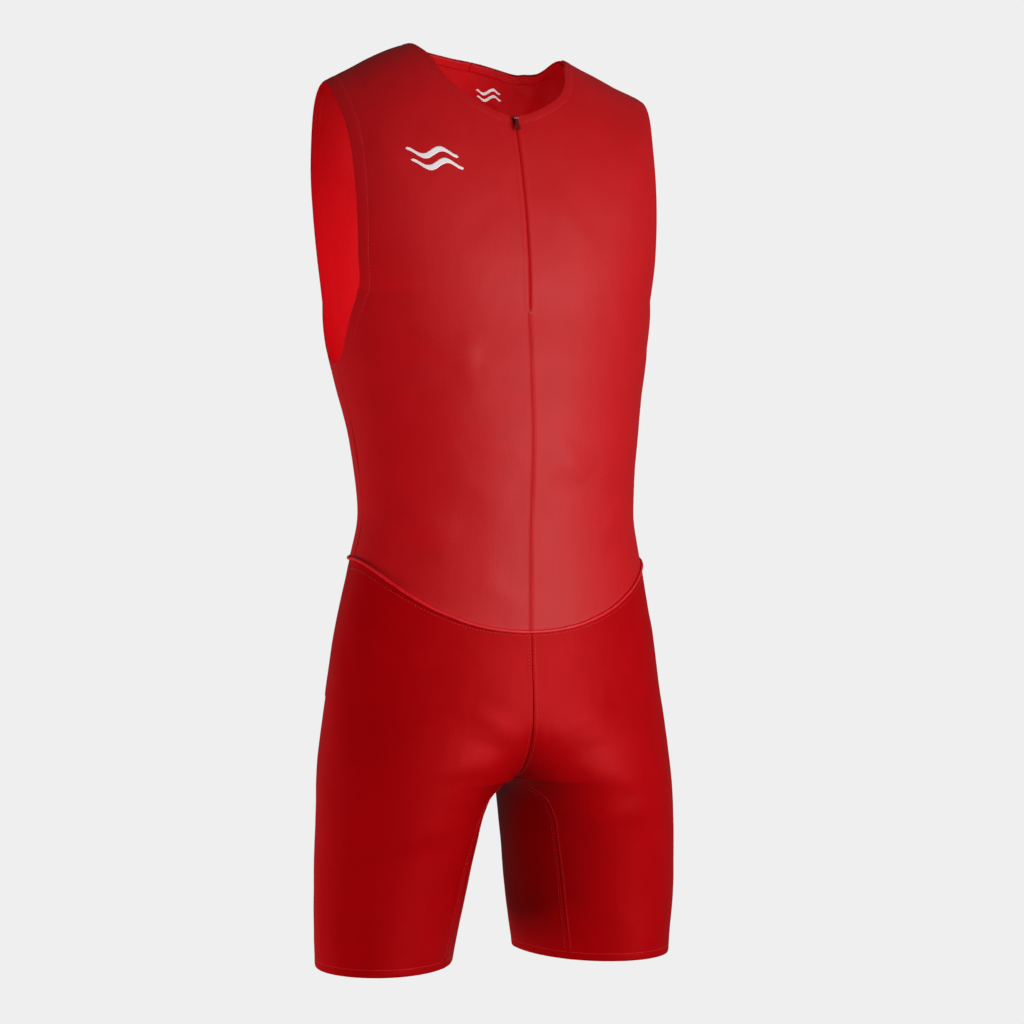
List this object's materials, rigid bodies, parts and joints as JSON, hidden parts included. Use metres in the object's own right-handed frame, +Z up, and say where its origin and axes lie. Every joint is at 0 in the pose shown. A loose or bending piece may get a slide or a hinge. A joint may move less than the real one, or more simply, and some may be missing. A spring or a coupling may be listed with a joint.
{
  "type": "sleeveless triathlon suit",
  "caption": "Sleeveless one-piece racing suit held open in its worn shape, with a short front zip, a dipping waist seam and mid-thigh legs; the zip pull swings.",
  "frame": {"origin": "halfway between the two neck points at the shoulder line, where the shoulders carry the suit", "axes": "+Z up towards the head, -Y to the suit's front, +X to the wearer's left"},
  "size_m": [0.3664, 0.2557, 0.8999],
  "materials": {
    "bodice_knit": "matte",
    "shorts_knit": "satin",
    "trim_tape": "matte",
    "painted_zinc": "satin"
  },
  "bodies": {
    "suit": {"back": "bodice_knit", "front_left": "bodice_knit", "front_right": "bodice_knit", "leg_left": "shorts_knit", "leg_right": "shorts_knit", "neck_band_back": "bodice_knit", "waist_piping": "shorts_knit", "zip_tape_left": "trim_tape", "zip_tape_right": "trim_tape", "zip_slider": "painted_zinc"},
    "pull": {"zip_pull": "painted_zinc"}
  },
  "joints": [
    {"name": "pull_hinge", "type": "hinge", "parent": "suit", "child": "pull", "pos_m": [0, -0.08706, -0.08002], "axis": [-1, 0, 0], "range_deg": [0, 150]}
  ]
}
